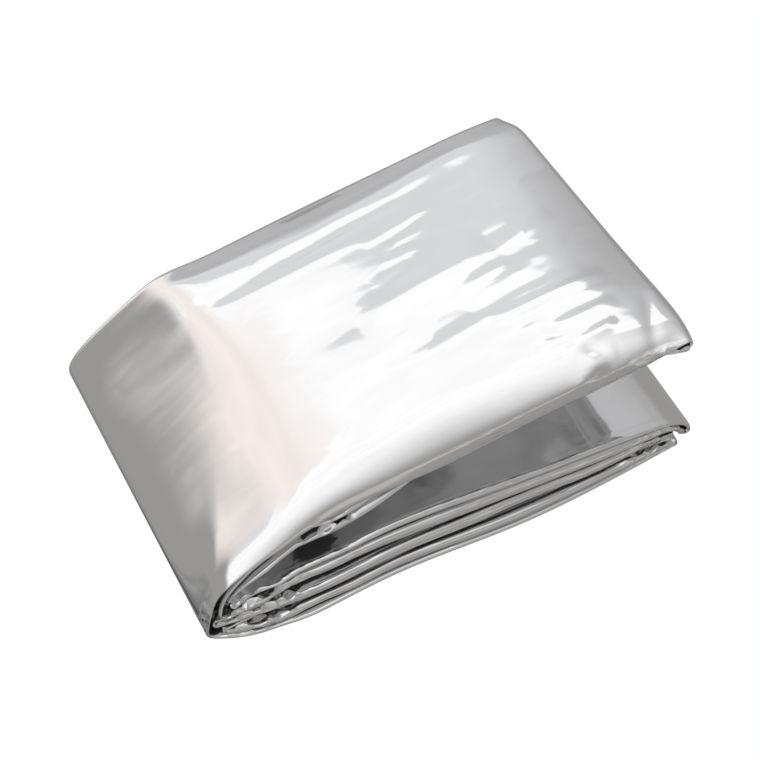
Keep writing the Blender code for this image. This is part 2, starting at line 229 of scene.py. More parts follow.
def cover_z(x, share):
    """Height of the middle of the cover, right of its ridge."""
    row = cover_section(share)
    ridge_x, ridge_z, first = row["ridge_x"], row["ridge_z"], COVER_PLACES[0]
    lead = ridge_z - RIDGE_LEAD * (row["z_35"] - ridge_z) / first
    places = [ridge_x - RIDGE_LEAD, ridge_x, *COVER_PLACES, upper_end(share)]
    heights = [lead, ridge_z, row["z_35"], row["z_60"], row["z_90"], row["tip_z"]]
    part = min(1.0, max(0.0, (x - ridge_x) / (first - ridge_x)))
    arch = row["arch"] * 4.0 * part * (1.0 - part)
    back = ease(share / TIP_FRONT_SHARE)
    roll = TIP_ROLL_FRONT + (TIP_ROLL - TIP_ROLL_FRONT) * back
    drop = TIP_DROP_FRONT + (TIP_DROP - TIP_DROP_FRONT) * back
    curl = drop * ease((x - upper_end(share) + roll) / roll)
    return smooth_between(places, heights, x) + arch - edge_drop(share) - curl


def upper_pitch(x):
    """The distance between neighbouring passes of the upper leaf."""
    return from_table(PITCH_COLUMNS, UPPER_PITCHES, x, "pitch")


def upper_z(level, x, share):
    """Height of the middle of an upper pass; level 1 is the cover."""
    slope = (cover_z(x + 1.0, share) - cover_z(x - 1.0, share)) / 2.0
    return cover_z(x, share) - (level - 1) * upper_pitch(x) * math.hypot(1.0, slope)


def pass_z(row, x, share):
    """Height of the middle of any pass."""
    height = lower_z if row["leaf"] == "lower" else upper_z
    return height(row["level"], x, share)


def rounded(points, rounds=3):
    """The line with its corners cut again and again, with both ends kept."""
    for _ in range(rounds):
        cut = [points[0]]
        for (ax, az), (bx, bz) in zip(points, points[1:]):
            for near, far in ((0.75, 0.25), (0.25, 0.75)):
                cut.append((ax * near + bx * far, az * near + bz * far))
        points = cut + [points[-1]]
    return points


def legs(line):
    """The length of each leg of a line of (x, z), and how far the line turns before it, in radians."""
    leg = np.diff(line, axis=0)
    heading = np.unwrap(np.arctan2(leg[:, 1], leg[:, 0]))
    return np.hypot(leg[:, 0], leg[:, 1]), np.abs(np.diff(heading, prepend=heading[0]))


def summed(parts):
    """The way gone at each point of a line, from the parts of it."""
    return np.concatenate(([0.0], np.cumsum(parts)))


def spaced(points, steps, bend_weight=0.0):
    """The line again as steps + 1 points, evenly spaced along it but closer where it bends."""
    line = np.array(points)
    length, turned = legs(line)
    along = summed(length + turned * bend_weight)
    at = np.linspace(0.0, along[-1], steps + 1)
    return list(zip(np.interp(at, along, line[:, 0]), np.interp(at, along, line[:, 1])))


@lru_cache(maxsize=None)
def cover_bend(share):
    """The cover from the bottom, round the spine, to the top: a fine line of (x, z)."""
    row = cover_section(share)
    bottom = PRESSED / 2
    bulge_z, ridge_x = row["bulge_z"], row["ridge_x"]
    ridge_z = cover_z(ridge_x, share)
    points = [(x, bottom) for x in FOOT_PLACES]
    points += [(FOOT_CORNER[0], bottom + FOOT_CORNER[1]), (0.0, bulge_z)]
    for part in FACE_PARTS:
        points.append((ridge_x * part ** FACE_HOLLOW, bulge_z + (ridge_z - bulge_z) * part))
    points.append((ridge_x, ridge_z))
    for part in RIDGE_PARTS:
        x = ridge_x + (SPINE_SIDE - ridge_x) * part
        points.append((x, cover_z(x, share)))
    return spaced(rounded(points), FINE_STEPS)


def inner_line(cover, level):
    """The cover's line moved inwards for a deeper pass of the upper leaf."""
    line = np.array(cover)
    way = np.gradient(line, axis=0)
    way /= np.hypot(way[:, 0], way[:, 1])[:, None]
    depth = np.array([(level - 1) * upper_pitch(x) for x in line[:, 0]])
    return list(zip(line[:, 0] + way[:, 1] * depth, line[:, 1] - way[:, 0] * depth))


def spine_bend(lower_level, upper_level, share):
    """The strip's way round the spine from a lower pass to an upper one, from low to high."""
    cover = cover_bend(share)
    if upper_level == 1:
        return spaced(cover, SPINE_STEPS, BEND_WEIGHT)
    rise = [(x, z) for x, z in inner_line(cover, upper_level)
            if x < SPINE_SIDE and z - lower_z(lower_level, x, share) > NOSE_HEIGHT]
    nose_x = rise[0][0]
    foot = lower_z(lower_level, nose_x, share)
    bend = [(x, lower_z(lower_level, x, share)) for x in NOSE_PLACES if x > nose_x + BEND_SPACING]
    bend += [(nose_x + NOSE_ROUND, foot), (nose_x - NOSE_ROUND / 2, foot + NOSE_HEIGHT / 2), rise[0]]
    for x, z in rise:
        if math.hypot(x - bend[-1][0], z - bend[-1][1]) > BEND_SPACING:
            bend.append((x, z))
    bend.append((SPINE_SIDE, upper_z(upper_level, SPINE_SIDE, share)))
    return spaced(rounded(bend), SPINE_STEPS, BEND_WEIGHT)


def run(row, share):
    """A pass from the spine's bends to where it turns back."""
    if row["hook"]:
        end = HOOK_START
    elif row["leaf"] == "lower":
        end = LOWER_END - row["short"]
    else:
        end = upper_end(share) - row["short"]
    points = [(x, pass_z(row, x, share)) for x in np.linspace(SPINE_SIDE, end, RUN_STEPS + 1)]
    if row["hook"]:
        points += hook(row["level"], share)
    return points


def hook(level, share):
    """A quarter of an ellipse, down over the ends of the lower passes."""
    top = lower_z(level, HOOK_START, share)
    inwards = lower_z(LOWER_PASSES, HOOK_START, share) - top
    made = []
    for angle in np.linspace(0.0, math.pi / 2, HOOK_STEPS + 1)[1:]:
        out = (HOOK_OUT - inwards) * math.sin(angle)
        made.append((HOOK_START + out, top - (HOOK_DOWN - inwards) * (1.0 - math.cos(angle))))
    return made


def half_turn(start, end, side):
    """Points of a round turn between two passes' ends, bulging to the LEFT or the RIGHT of its way."""
    (ax, az), (bx, bz) = start, end
    made = []
    for angle in np.linspace(0.0, math.pi, TURN_STEPS + 1)[1:-1]:
        part = (1.0 - math.cos(angle)) / 2
        bulge = math.sin(angle) * TURN_BULGE * side
        x = ax + (bx - ax) * part - (bz - az) * bulge
        made.append((x, az + (bz - az) * part + (bx - ax) * bulge))
    return made


def side_turn(low, high, share):
    """A turn beside the spine, inside the lower leaf, from the lower pass to the higher."""
    top = lower_z(high["level"], 0.0, share)
    face = [x for x, z in cover_bend(share) if top - TURN_SPAN < z < top]
    places = (*SIDE_TURN_PLACES, max(face) + SIDE_TURN_GAP)
    below = [(x, pass_z(low, x, share)) for x in places]
    above = [(x, pass_z(high, x, share)) for x in reversed(places)]
    return below + half_turn(below[-1], above[0], LEFT) + above


def section(share):
    """The strip's middle line at one place across the width: (x, z, pass number, kind)."""
    line = []
    rows = named(PASS_COLUMNS, PASSES)
    for number, row in enumerate(rows):
        points = run(row, share)
        if number % 2 == 0:
            points.reverse()
            if number:
                turn = half_turn(line[-1][:2], points[0], LEFT if row["hook"] else RIGHT)
                line += [(x, z, number, "turn") for x, z in turn]
        elif rows[number - 1]["leaf"] != row["leaf"]:
            before = rows[number - 1]
            upper, lower = (before, row) if before["leaf"] == "upper" else (row, before)
            bend = spine_bend(lower["level"], upper["level"], share)[1:-1]
            if row is lower:
                bend.reverse()
            line += [(x, z, number - (i < len(bend) / 2), "spine") for i, (x, z) in enumerate(bend)]
        else:
            turn = side_turn(rows[number - 1], row, share)
            line += [(x, z, number - (i < len(turn) / 2), "turn") for i, (x, z) in enumerate(turn)]
        line += [(x, z, number, "run") for x, z in points]
    return line


def slip(row, x):
    """How far a pass has slipped sideways; nothing at the spine or at its end."""
    slips = (0.0, row["slip_15"], row["slip_50"], row["slip_85"], row["slip_110"], 0.0)
    return smooth_between(SLIP_PLACES, slips, x)


# ---- The film's own unevenness ---------------------------------

COVER = 4  # the pass, in the order of PASSES, that is the cover
BOTTOM = 5  # and the one that lies on the surface
HALF_WAY = 0.5  # from this share on, the values for the back edge hold

# The roll along each pass's long edges, in the order of PASSES. Where a pass is drawn in, the roll of the
# one above or below covers it.
# fill: the roll's thickness as a share of the distance to the next pass, at the front edge towards the
# spine and towards the open end, and at the back edge
# keeps: 1 swells upwards only, -1 downwards only, 0 both ways
# wide: how far in from the edge the roll swells
# blunt_top, blunt_under: the widths over which its two faces turn over the front edge
# blunt_back: the same over the back edge
# drawn_in: how far the front edge is drawn in, towards the spine and the open end
# wander, period, start: the front edge's sideways wave, its length, and its place in turns
ROLL_COLUMNS = ("fill_left", "fill_right", "fill_back", "keeps", "wide", "blunt_top", "blunt_under",
                "blunt_back", "drawn_in_left", "drawn_in_right", "wander", "period", "start")
ROLLS = (
    (0.50, 0.60, 0.55, 0.0, 4.0, 2.0, 1.2, 1.5, 0.0, 5.4, 0.25, 47.0, 0.10),
    (0.70, 0.90, 0.80, -1.0, 4.0, 2.2, 1.0, 1.5, 0.0, 0.0, 0.15, 61.0, 0.35),
    (1.25, 1.62, 1.40, -1.0, 3.6, 2.6, 0.8, 1.5, 0.0, -0.6, 0.20, 53.0, 0.80),
    (0.50, 0.45, 0.50, 0.0, 4.0, 1.6, 1.0, 1.3, 0.0, 5.6, 0.35, 44.0, 0.55),
    (1.30, 3.50, 1.00, -1.0, 5.8, 5.4, 3.0, 1.6, 0.0, 0.0, 0.15, 70.0, 0.05),
    (0.60, 0.62, 0.60, 1.0, 3.0, 1.6, 0.8, 1.2, 0.0, 0.0, 0.25, 58.0, 0.40),
    (1.15, 1.25, 1.20, 0.15, 3.6, 2.4, 0.9, 1.6, 0.0, 0.0, 0.30, 49.0, 0.15),
    (0.50, 0.50, 0.50, 0.0, 3.0, 1.2, 1.0, 1.1, 1.8, 2.6, 0.35, 41.0, 0.65),
    (1.35, 1.66, 1.50, -0.45, 3.6, 2.6, 0.9, 1.6, 0.0, 0.0, 0.30, 37.0, 0.95),
    (0.50, 0.50, 0.50, 0.0, 3.0, 1.2, 1.0, 1.1, 2.0, 2.8, 0.35, 55.0, 0.25),
)
LEFT_PART, RIGHT_PART = 40.0, 72.0  # between these the values for the left give way to those for the right
DRAWN_IN_PLACES = (3.0, 14.0, 112.0, 125.0)  # drawn in from the first on, and fully between the middle two
FINE_WANDER = 0.07  # a smaller sideways wave of every front edge, and its length
FINE_PERIOD = 11.3
OFF_PASS = 0.8  # a bend further from its pass than this has left it
SPINE_CLEAR = 6.0  # from here to half way to SPINE_SIDE the rolls set in on a bend
TIP_TAPER = 12.0  # the upper rolls thin out over this length before the open end

# Small tucks in the front edges. A pass is pushed in and up near x, over a width along it and a reach
# inwards.
TUCK_COLUMNS = ("number", "x", "width", "reach", "inwards", "upwards")
TUCKS = (
    (4, 32, 4, 3, 1.6, -0.8),
    (4, 26, 4, 3, 0.9, -0.4),
    (4, 21.5, 5, 3, -0.6, 0.3),
    (3, 33, 6, 4, -1.6, -1),
    (3, 24, 6, 4, 0.8, 0.3),
    (3, 12, 6, 3, 0.9, -0.5),
    (0, 25, 7, 4, 1.4, -0.8),
    (0, 14, 6, 3, -1.2, 0.6),
    (0, 38, 7, 4, -0.8, -0.4),
    (1, 7, 5, 4, -1.6, 0.8),
    (1, 12.5, 5, 4, 1.5, -0.4),
    (1, 19, 6, 4, -1.2, 0.7),
    (1, 26, 5, 4, 1.3, -0.5),
    (1, 33, 6, 4, -0.7, 0.4),
    (2, 6, 5, 4, -1.4, -0.5),
    (2, 15, 6, 4, -1.5, 0.3),
    (2, 22.5, 5, 3, 1.4, -0.2),
    (2, 30, 6, 3, -0.6, 0.1),
    (8, 8, 5, 4, -1.6, 0.5),
    (8, 14, 6, 4, 1, -0.2),
    (8, 21, 5, 3, -0.9, 0.1),
    (8, 29, 4, 3, 1, 0),
    (6, 26, 4, 3, 1.3, 0.1),
    (6, 18, 7, 3, -1, 0),
    (6, 10, 6, 3, -0.8, 0.4),
    (5, 16, 6, 3, 0.8, 0),
    (2, 95, 5, 3, 0.6, 0.1),
    (8, 60, 6, 3, 0.5, 0),
    (6, 47, 5, 3, 0.6, 0),
    (8, 112, 6, 4, 0.9, 0.3),
    (6, 106, 5, 4, -0.8, 0),
    (2, 116, 5, 4, 0.8, -0.3),
    (4, 108, 5, 3, -0.5, 0.2),
    (4, 113, 4, 3, 0.9, -0.6),
    (4, 119, 4, 3, -0.6, 0.3),
    *((number, 74, 92, 6, 0, -1.1) for number in (4, 3, 0)),
    (4, 60, 46, 6, 0, -2),
    (3, 58, 50, 7, 0, -2.2),
    (0, 54, 56, 7, 0, -2.6),
    (3, 117, 17, 6, -3.6, 0),
    (0, 120, 16, 8, 4.6, 0.4),
)

# The cover's broad unevenness. Each row is y, and then the height above the plain fold at these places
# along x.
SWELL_PLACES = (18.0, 30.0, 42.0, 54.0, 66.0, 78.0, 90.0, 102.0, 114.0, 126.0)
COVER_SWELLS = (
    ( -2.0,  0.00,  0.00,  0.00,  0.00,  0.00,  0.00,  0.02,  0.04,  0.04,  0.04),
    (  5.5, -0.02,  0.00,  0.02,  0.08,  0.14,  0.22,  0.32,  0.36,  0.36,  0.38),
    ( 13.0, -0.04,  0.00,  0.06,  0.16,  0.28,  0.44,  0.58,  0.60,  0.54,  0.52),
    ( 20.5, -0.06, -0.02,  0.04,  0.16,  0.32,  0.52,  0.66,  0.62,  0.48,  0.40),
    ( 28.0, -0.06, -0.08, -0.06,  0.04,  0.22,  0.42,  0.60,  0.58,  0.38,  0.18),
    ( 35.5, -0.04, -0.12, -0.18, -0.12,  0.06,  0.34,  0.58,  0.56,  0.28, -0.04),
    ( 43.0,  0.02, -0.10, -0.22, -0.28, -0.20,  0.10,  0.32,  0.28,  0.08, -0.12),
    ( 50.5,  0.10,  0.04, -0.10, -0.24, -0.24, -0.04,  0.08,  0.02, -0.10, -0.18),
    ( 58.0,  0.16,  0.22,  0.14,  0.02, -0.02,  0.00,  0.02, -0.10, -0.22, -0.22),
    ( 65.5,  0.12,  0.20,  0.26,  0.28,  0.26,  0.12, -0.04, -0.16, -0.26, -0.26),
    ( 73.0,  0.02,  0.04,  0.12,  0.26,  0.40,  0.24, -0.02, -0.24, -0.32, -0.30),
    ( 80.5, -0.10, -0.12,  0.00,  0.16,  0.30,  0.18, -0.06, -0.28, -0.34, -0.28),
    ( 88.0, -0.14, -0.08,  0.02,  0.16,  0.22,  0.16,  0.02, -0.12, -0.18, -0.18),
)

# The same for the spine face and the ridge, more closely.
FACE_PLACES = (-6.0, 0.0, 6.0, 12.0, 18.0, 24.0, 30.0, 36.0, 42.0)
FACE_SWELLS = (
    ( -2.0,  0.00,  0.00,  0.85, -0.20, -0.75, -0.50, -0.10,  0.00,  0.00),
    (  5.5,  0.00,  0.00,  0.55, -0.40, -0.75, -0.40, -0.15,  0.00,  0.00),
    ( 13.0,  0.00,  0.00,  0.05, -0.60, -0.60, -0.20, -0.10,  0.00,  0.00),
    ( 20.5,  0.00,  0.00, -0.35, -0.75, -0.40,  0.00,  0.00,  0.00,  0.00),
    ( 28.0,  0.00,  0.00, -0.50, -0.75, -0.25,  0.15,  0.05,  0.00,  0.00),
    ( 35.5,  0.00,  0.00, -0.45, -0.60, -0.05,  0.25,  0.10,  0.00,  0.00),
    ( 43.0,  0.00,  0.00, -0.35, -0.45,  0.05,  0.40,  0.20,  0.00,  0.00),
    ( 50.5,  0.00,  0.00, -0.25, -0.35,  0.05,  0.50,  0.50,  0.00,  0.00),
    ( 58.0,  0.00,  0.00, -0.15, -0.35,  0.00,  0.45,  0.80,  0.05,  0.00),
    ( 65.5,  0.00,  0.00, -0.15, -0.35, -0.10,  0.40,  1.05,  0.05,  0.00),
    ( 73.0,  0.00,  0.00, -0.15, -0.40, -0.15,  0.35,  1.10,  0.00,  0.00),
    ( 80.5,  0.00,  0.00, -0.15, -0.30, -0.10,  0.48,  1.15,  0.10,  0.00),
    ( 88.0,  0.00,  0.00,  0.90,  0.95,  1.10,  1.50,  1.35,  0.30,  0.00),
)

# Soft troughs and ridges pressed into the cover. From x1, y1 to x2, y2; width: from side to side;
# height: minus is a trough.
CREASE_COLUMNS = ("x1", "y1", "x2", "y2", "width", "height")
COVER_CREASES = (
    # the stripe and the long ridge beside the back edge
    (20, 71, 99, 75.5, 6, -0.16),
    (26, 76, 98, 78.5, 7, 0.10),
    (37, 68.6, 76, 67.4, 4, 0.07),
    # short ridges in the grey beside it
    (72, 65.2, 92, 68.6, 3.4, 0.10),
    (76, 61.4, 90, 63.6, 3.4, 0.06),
    (73, 56.6, 84, 58.4, 3.2, 0.07),
    (68, 52.6, 80, 54.6, 3.4, 0.07),
    # the long soft ridges of the top
    (60, 44.4, 98, 49.4, 13, 0.33),
    (60, 24.6, 114, 30.6, 9, 0.26),
    (86, 34.5, 104, 37, 4, 0.08),
    (84, 39, 100, 42, 4, 0.08),
    (96, 45.6, 116, 50, 6.5, 0.10),
    # the small sharp ones before the open end
    (87, 26.2, 117, 27, 4, 0.34),
    (97, 17.4, 115, 17.8, 3.8, 0.32),
    (97, 9.8, 112, 12.4, 3.2, 0.38),
    (92.5, 14.3, 102, 13.4, 2.6, 0.24),
    (88, 19.5, 98, 20.8, 2.6, 0.15),
    (104, 23.4, 119, 22, 3.4, 0.10),
    # the crumple beside the front corner
    (100, 6.4, 108.5, 5.6, 3, 0.36),
    (98, 3, 106.5, 3.4, 3.2, -0.36),
    (101.5, 9.4, 108.5, 3.8, 3.2, -0.22),
    (116.5, 1.5, 122.5, 17, 4.2, -0.19),
    (95, 2.4, 103, 5.4, 3.4, 0.24),
)


def spacing_to_next(row, x, share):
    """The distance from a pass to its neighbour in the same leaf."""
    if row["leaf"] == "lower":
        return lower_pitch(x, share)
    return upper_pitch(x)


def left_to_right(roll, name, x):
    """A roll's value at x, between its two columns."""
    left, right = roll[name + "_left"], roll[name + "_right"]
    return left + (right - left) * ease((x - LEFT_PART) / (RIGHT_PART - LEFT_PART))


def swelling(row, roll, x, share):
    """How much thicker than pressed a pass is: nothing but in the rolls along its edges."""
    inside = min(share, 1.0 - share) * STRIP_WIDTH
    fill = left_to_right(roll, "fill", x) if share < HALF_WAY else roll["fill_back"]
    at_edge = spacing_to_next(row, x, share) * fill
    solid = min(roll["blunt_top"], roll["blunt_under"])
    fall = (inside - solid) / (roll["wide"] - solid)
    taper = ease((upper_end(share) - x) / TIP_TAPER) if row["leaf"] == "upper" else 1.0
    return (at_edge - PRESSED) * (1.0 - ease(fall)) * taper


def lies_flat(row, kind, x, z, share):
    """1 where the strip lies along its pass, falling to 0 where it turns up or back."""
    if kind == "run":
        return 1.0
    if abs(z - pass_z(row, x, share)) > OFF_PASS or x > SPINE_SIDE:
        return 0.0
    return float(ease((x - SPINE_CLEAR) / (SPINE_SIDE - SPINE_CLEAR) * 2.0))


def front_edge(roll, x, share):
    """How far a pass is drawn in or out of its place; nothing at its back edge."""
    first, full, last_full, last = DRAWN_IN_PLACES
    held = ease((x - first) / (full - first)) * ease((last - x) / (last - last_full))
    wave = roll["wander"] * math.sin(math.tau * (x / roll["period"] + roll["start"]))
    wave += FINE_WANDER * math.sin(math.tau * (x / FINE_PERIOD + 3.0 * roll["start"]))
    return (left_to_right(roll, "drawn_in", x) * held + wave) * (1.0 - share)


def tucked(number, x, share):
    """How far the tucks push a pass inwards and upwards."""
    inside = share * STRIP_WIDTH
    inwards = upwards = 0.0
    for tuck in named(TUCK_COLUMNS, TUCKS):
        if tuck["number"] == number:
            part = math.exp(-((x - tuck["x"]) / tuck["width"] * 2) ** 2 - (inside / tuck["reach"]) ** 2)
            inwards += tuck["inwards"] * part
            upwards += tuck["upwards"] * part
    return inwards, upwards


def control_net():
    """The sheet's control values for each station and share, and what each station belongs to.

    The values are the middle's place, the thickness, and the widths over which its outside and its inside
    turn over the edge. The film's outside is the upper face of every second pass.
    """
    rows, rolls = named(PASS_COLUMNS, PASSES), named(ROLL_COLUMNS, ROLLS)
    net = []
    for share in SHARES:
        line = []
        for x, z, number, kind in section(share):
            row, roll = rows[number], rolls[number]
            swell = swelling(row, roll, x, share) * lies_flat(row, kind, x, z, share)
            inwards, upwards = tucked(number, x, share)
            y = share * STRIP_WIDTH + slip(row, x) + front_edge(roll, x, share) + inwards
            blunt = 2 * (roll["blunt_back"],)
            if share < HALF_WAY:
                blunt = (roll["blunt_top"], roll["blunt_under"])
            outside, inside = blunt if number % 2 == 0 else reversed(blunt)
            line.append((x, y, z + roll["keeps"] * swell / 2 + upwards, PRESSED + swell, outside, inside))
        net.append(line)
    marks = [(number, kind) for _, _, number, kind in section(HALF_WAY)]
    return np.array(net).swapaxes(0, 1), marks


def b_spline(values, at):
    """A smooth curve, cubic and uniform, through a list of control values, held at both ends."""
    last = len(values) - 1
    held = np.concatenate((2 * values[:1] - values[1:2], values, 2 * values[-1:] - values[-2:-1]))
    at = np.clip(at, 0.0, last)
    i = np.minimum(at.astype(int), last - 1)
    t = (at - i).reshape((-1,) + (1,) * (values.ndim - 1))
    weights = ((1 - t) ** 3, 3 * t ** 3 - 6 * t ** 2 + 4, -3 * t ** 3 + 3 * t ** 2 + 3 * t + 1, t ** 3)
    return sum(weight * held[i + k] for k, weight in enumerate(weights)) / 6


# ---- The mesh --------------------------------------------------

COVER_STEP = 0.88  # along the strip, on the cover and its spine face
HIDDEN_STEP = 4.0  # along every other pass
BEND_STEP = math.radians(11.0)  # turn of the strip from one step to the next, at most
FINE_CUTS = 16  # fine steps from each control value to the next, from which to choose
TOP_LINES = 86  # across the strip, on the cover's outside
UNDER_LINES = 34  # and on its inside
EDGE_LINES = 8  # over each long edge, on either side
EDGE_WIDTH = 2.4  # how far in from the edge those lines lie
SHARE_CUTS = 400  # fine steps across the strip, to find its shares on the smooth curve
ACROSS_CUTS = 200  # and to find which way is across
END_SHRINK = (0.05, 0.35, 0.6, 0.8, 0.93, 1.0)  # shares of the thickness at the strip's two ends
COVER_STARTS = 8  # steps over which the cover's unevenness sets in at its two ends
CREASE_TAPER = 0.7  # under 1 a crease holds its height towards its ends
CREASE_FALL = 1.6  # how steeply a crease falls off to its sides
WELD = 1e-7  # in metres: the grid's two sides meet closer than this


def stations(net, marks):
    """Where along the strip to cut it: closest on the cover, and where it bends."""
    fine = np.linspace(0.0, len(net) - 1, (len(net) - 1) * FINE_CUTS + 1)
    length, turned = legs(b_spline(net[:, len(SHARES) // 2, :3], fine)[:, (0, 2)])
    step = []
    for at in fine[1:]:
        number, kind = marks[int(at)]
        on_cover = number == COVER or (kind == "spine" and number == BOTTOM)
        step.append(COVER_STEP if on_cover else HIDDEN_STEP)
    along = summed(length / np.array(step) + turned / BEND_STEP)
    return np.interp(np.linspace(0.0, along[-1], int(along[-1]) + 1), along, fine)


def round_the_strip():
    """The way round the strip's outline as (share, side): 1 on its outside, -1 on its inside."""
    rim = EDGE_WIDTH / STRIP_WIDTH
    edge = [rim * (1 - math.cos(math.pi / 2 * i / EDGE_LINES)) for i in range(EDGE_LINES)]
    back_edge = [1 - share for share in reversed(edge)]
    top = [*edge, *np.linspace(rim, 1 - rim, TOP_LINES + 1), *back_edge]
    under = [*reversed(back_edge[:-1]), *np.linspace(1 - rim, rim, UNDER_LINES + 1), *reversed(edge)]
    return [(share, 1.0) for share in top] + [(share, -1.0) for share in under]


def unit(vectors):
    """The same directions, each with a length of one."""
    return vectors / np.linalg.norm(vectors, axis=-1, keepdims=True)


def swell_height(table, places, x, y):
    """A smooth surface through a table of swells, at places on the cover."""
    heights = np.array([row[1:] for row in table])
    weights = []
    for known, at in (([row[0] for row in table], y), (places, x)):
        count = len(known)
        weights.append(b_spline(np.eye(count), np.interp(at.ravel(), known, np.arange(count))))
    down, along = weights
    return ((down @ heights) * along).sum(axis=1).reshape(x.shape)


def crease_height(x, y):
    """The placed troughs and ridges at places on the cover."""
    height = np.zeros_like(x)
    for crease in named(CREASE_COLUMNS, COVER_CREASES):
        ax, ay = crease["x1"], crease["y1"]
        length = math.hypot(crease["x2"] - ax, crease["y2"] - ay)
        ux, uy = (crease["x2"] - ax) / length, (crease["y2"] - ay) / length
        along = ((x - ax) * ux + (y - ay) * uy) / length
        across = ((y - ay) * ux - (x - ax) * uy) / crease["width"] * 2
        taper = np.clip(4.0 * along * (1.0 - along), 0.0, 1.0) ** CREASE_TAPER
        height += crease["height"] * taper * np.exp(-across ** 2 * CREASE_FALL)
    return height


def relief(x, y):
    """How far the cover stands out of the plain fold."""
    broad = swell_height(COVER_SWELLS, SWELL_PLACES, x, y) + swell_height(FACE_SWELLS, FACE_PLACES, x, y)
    return broad + crease_height(x, y)


def turned_over(inside, blunt):
    """The strip's height as it turns over its edge: 0 at the edge and 1 from the given width inwards."""
    short = np.clip(1.0 - inside / blunt, 0.0, 1.0)
    return np.sqrt(1.0 - short ** 2)


def at_shares(lines, shares):
    """The strip at any shares of its width, on a smooth curve through those of SHARES."""
    fine = np.linspace(0.0, len(SHARES) - 1, SHARE_CUTS)
    places = np.interp(shares, b_spline(np.array(SHARES), fine), fine)
    return b_spline(lines.swapaxes(0, 1), places).swapaxes(0, 1)


def outward_of(middle, lines, shares, cover):
    """The direction square to the strip that is upwards on the cover, at each point of its middle."""
    spread = at_shares(lines[..., :3], np.linspace(0.0, 1.0, ACROSS_CUTS))
    nearest = np.clip((shares * (ACROSS_CUTS - 1)).astype(int), 0, ACROSS_CUTS - 1)
    across = unit(np.gradient(spread, axis=1))[:, nearest]
    outward = unit(np.cross(unit(np.gradient(middle, axis=0)), across))
    return -outward if outward[cover, len(shares) // 4, 2].mean() < 0 else outward


def sheet_points():
    """Every point of the sheet's surface as (station, place round the strip, 3), with its film map."""
    net, marks = control_net()
    at = stations(net, marks)
    shares, sides = (np.array(part) for part in zip(*round_the_strip()))
    lines = b_spline(net, at)
    values = at_shares(lines, shares)
    middle = values[..., :3]
    inside = np.minimum(shares, 1.0 - shares) * STRIP_WIDTH
    turned = turned_over(inside, np.where(sides > 0, values[..., 4], values[..., 5]))
    cover = np.flatnonzero([marks[int(round(place))][0] == COVER for place in at])
    outward = outward_of(middle, lines, shares, cover)
    shrink = np.ones(len(at))
    shrink[:len(END_SHRINK)] = END_SHRINK
    shrink[-len(END_SHRINK):] = END_SHRINK[::-1]
    points = middle + outward * (values[..., 3] / 2 * turned * sides * shrink[:, None])[..., None]
    number = np.arange(len(at))
    on_cover = ease((number - cover[0]) / COVER_STARTS) * ease((cover[-1] - number) / COVER_STARTS)
    follows = np.where(sides > 0, 1.0, 1.0 - turned)
    points += outward * (relief(middle[..., 0], middle[..., 1]) * on_cover[:, None] * follows)[..., None]
    centre = middle[:, len(shares) // 4]
    along = summed(np.linalg.norm(np.diff(centre, axis=0), axis=1))
    film = np.stack(np.broadcast_arrays(along[:, None], shares * STRIP_WIDTH), axis=-1)
    return points, film


def made_object(name, shape):
    """An object of a finished shape, in the scene."""
    mesh = bpy.data.meshes.new(name)
    shape.to_mesh(mesh)
    shape.free()
    made = bpy.data.objects.new(name, mesh)
    bpy.context.scene.collection.objects.link(made)
    return made


def folded_sheet(name):
    """One grid of film, folded: a closed, thin body."""
    points, film = sheet_points()
    rows, cols = points.shape[:2]
    shape = bmesh.new()
    bmesh.ops.create_grid(shape, x_segments=cols - 1, y_segments=rows - 1, size=1.0)
    uv = shape.loops.layers.uv.new("film")
    cell = {}
    for vert in shape.verts:
        cell[vert.index] = tuple(round((part + 1) / 2 * (count - 1))
                                 for part, count in ((vert.co.y, rows), (vert.co.x, cols)))
    for face in shape.faces:
        for loop in face.loops:
            loop[uv].uv = film[cell[loop.vert.index]] * MM
    shift = np.array((CENTRE_X, CENTRE_Y, 0.0))
    for vert in shape.verts:
        vert.co = (points[cell[vert.index]] - shift) * MM
    bmesh.ops.remove_doubles(shape, verts=shape.verts, dist=WELD)
    ends = [edge for edge in shape.edges if edge.is_boundary]
    if len(ends) != 2 * (cols - 1):
        raise RuntimeError("the sheet is open somewhere else than at its two ends")
    bmesh.ops.holes_fill(shape, edges=ends, sides=0)
    bmesh.ops.recalc_face_normals(shape, faces=shape.faces)
    sheet = made_object(name, shape)
    sheet.data.shade_smooth()
    return sheet


# ---- Materials -------------------------------------------------

# Where the film is crumpled into small facets: the middle in mm, and how far it reaches each way.
CRUMPLE_COLUMNS = ("x", "y", "z", "long", "wide", "high")
CRUMPLES = (
    (10.0, -1.0, 7.0, 17.0, 8.0, 9.0),
    (32.0, 0.0, 24.0, 9.0, 5.0, 6.0),
    (121.0, 0.0, 4.5, 14.0, 6.0, 6.0),
    (119.0, -1.0, 38.5, 15.0, 6.0, 4.5),
)
CRUMPLE_FADE = (1.0, 0.4)  # shares of that reach between which the facets set in

# The film's patterns. Sizes are along the strip and across it, or along X, Y and Z.
RIPPLE = (22.2, 6.7)  # the low ripples of slack film
RIPPLE_STRENGTH = 0.16
LAYER = (55.5, 2.0, 1.1)  # the plies are 12 micrometres thick, too fine to show: drawn this coarse
LAYER_STRENGTH = 0.45
